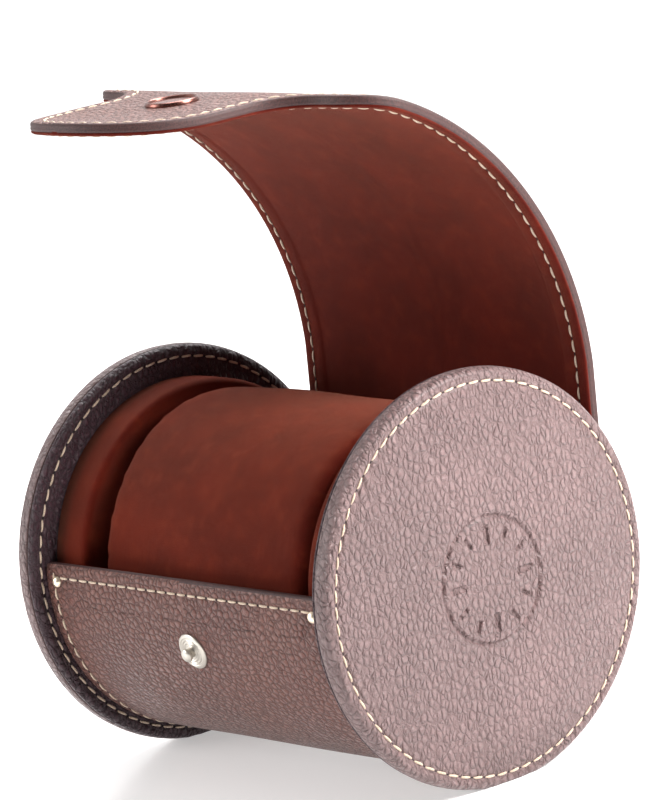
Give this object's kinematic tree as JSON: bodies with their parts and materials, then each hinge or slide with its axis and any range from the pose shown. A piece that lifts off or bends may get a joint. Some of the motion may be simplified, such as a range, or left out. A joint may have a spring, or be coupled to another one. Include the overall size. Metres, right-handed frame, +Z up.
{
  "type": "watch box",
  "caption": "Drum-shaped leather travel case for a wristwatch: padded end discs, suede-lined tray, turning cushion and a flexible lid with a snap tongue.",
  "frame": {"origin": "on the resting plane, under the middle of the case's long axis", "axes": "+X along the case towards the right disc, -Y towards the front with the press stud, +Z up"},
  "size_m": [0.1162, 0.108, 0.1626],
  "materials": {
    "disc_leather": "pebble-grained leather, soft sheen",
    "inner_leather": "pebble-grained leather, dark, soft sheen",
    "wrap_leather": "pebble-grained leather, soft sheen",
    "suede": "brushed suede, matte, napped",
    "board": "matte",
    "foam": "matte",
    "rivet_metal": "satin",
    "cap_metal": "gloss, brown",
    "snap_metal": "polished"
  },
  "bodies": {
    "case": {"front_rivets": "rivet_metal", "left_collar_core": "board", "left_collar_cover": "suede", "left_disc_board": "board", "left_disc_inner_leather": "inner_leather", "left_disc_outer_leather": "disc_leather", "left_disc_padding": "foam", "right_collar_core": "board", "right_collar_cover": "suede", "right_disc_board": "board", "right_disc_inner_leather": "inner_leather", "right_disc_outer_leather": "disc_leather", "right_disc_padding": "foam", "stud": "snap_metal", "stud_back": "snap_metal", "tray_board": "board", "tray_leather": "wrap_leather", "tray_lining": "suede"},
    "pillow": {"pillow_core": "foam", "pillow_cover": "suede", "pillow_left_end": "suede", "pillow_right_end": "suede"},
    "lid_1": {"lid_board_1": "board", "lid_leather_1": "wrap_leather", "lid_lining_1": "suede"},
    "lid_2": {"lid_board_2": "board", "lid_leather_2": "wrap_leather", "lid_lining_2": "suede"},
    "lid_3": {"lid_board_3": "board", "lid_leather_3": "wrap_leather", "lid_lining_3": "suede"},
    "lid_4": {"lid_board_4": "board", "lid_leather_4": "wrap_leather", "lid_lining_4": "suede"},
    "lid_5": {"lid_board_5": "board", "lid_leather_5": "wrap_leather", "lid_lining_5": "suede"},
    "lid_6": {"lid_board_6": "board", "lid_leather_6": "wrap_leather", "lid_lining_6": "suede"},
    "lid_7": {"lid_board_7": "board", "lid_leather_7": "wrap_leather", "lid_lining_7": "suede"},
    "lid_8": {"lid_board_8": "board", "lid_leather_8": "wrap_leather", "lid_lining_8": "suede", "snap_cap": "cap_metal", "snap_socket": "snap_metal"},
    "lid_9": {"lid_leather_9": "wrap_leather", "lid_lining_9": "suede"},
    "lid_10": {"lid_leather_10": "wrap_leather", "lid_lining_10": "suede"}
  },
  "joints": [
    {"name": "pillow_turn", "type": "hinge", "parent": "case", "child": "pillow", "pos_m": [0, 0, 0.047], "axis": [1, 0, 0], "continuous": true},
    {"name": "lid_hinge", "type": "hinge", "parent": "case", "child": "lid_1", "pos_m": [0, 0.04085, 0.0425], "axis": [1, 0, 0], "range_deg": [-1.12, 7.01]},
    {"name": "lid_fold", "type": "hinge", "parent": "lid_1", "child": "lid_2", "pos_m": [0, 0.04215, 0.06426], "axis": [1, 0, 0], "range_deg": [-5.27, 35.16]},
    {"name": "lid_bend_3", "type": "hinge", "parent": "lid_2", "child": "lid_3", "pos_m": [0, 0.04344, 0.08602], "axis": [1, 0, 0], "range_deg": [-4.3, 26.88]},
    {"name": "lid_bend_4", "type": "hinge", "parent": "lid_3", "child": "lid_4", "pos_m": [0, 0.04036, 0.10724], "axis": [1, 0, 0], "range_deg": [-2.75, 17.2]},
    {"name": "lid_bend_5", "type": "hinge", "parent": "lid_4", "child": "lid_5", "pos_m": [0, 0.03139, 0.12671], "axis": [1, 0, 0], "range_deg": [-2.75, 17.15]},
    {"name": "lid_bend_6", "type": "hinge", "parent": "lid_5", "child": "lid_6", "pos_m": [0, 0.01725, 0.14283], "axis": [1, 0, 0], "range_deg": [-2.38, 14.85]},
    {"name": "lid_bend_7", "type": "hinge", "parent": "lid_6", "child": "lid_7", "pos_m": [0, -0.00088, 0.15427], "axis": [1, 0, 0], "range_deg": [-3.18, 0.51]},
    {"name": "tongue_press", "type": "hinge", "parent": "lid_7", "child": "lid_8", "pos_m": [0, -0.01625, 0.15753], "axis": [1, 0, 0], "range_deg": [-3, 16.08]},
    {"name": "tongue_bend", "type": "hinge", "parent": "lid_8", "child": "lid_9", "pos_m": [0, -0.03425, 0.15753], "axis": [1, 0, 0], "range_deg": [-7.17, 36]},
    {"name": "tip_bend", "type": "hinge", "parent": "lid_9", "child": "lid_10", "pos_m": [0, -0.04723, 0.15812], "axis": [1, 0, 0], "range_deg": [-7.76, 39]}
  ],
  "couplings": [
    {"joint": "lid_hinge", "follows": "lid_fold", "ratio": 0.13293},
    {"joint": "lid_bend_3", "follows": "lid_fold", "ratio": 0.50966},
    {"joint": "lid_bend_4", "follows": "lid_fold", "ratio": 0.32613},
    {"joint": "lid_bend_5", "follows": "lid_fold", "ratio": 0.32525},
    {"joint": "lid_bend_6", "follows": "lid_fold", "ratio": 0.28159},
    {"joint": "lid_bend_7", "follows": "lid_fold", "ratio": -0.06027},
    {"joint": "tongue_bend", "follows": "tongue_press", "ratio": 1.4928},
    {"joint": "tip_bend", "follows": "tongue_press", "ratio": 1.6172}
  ]
}
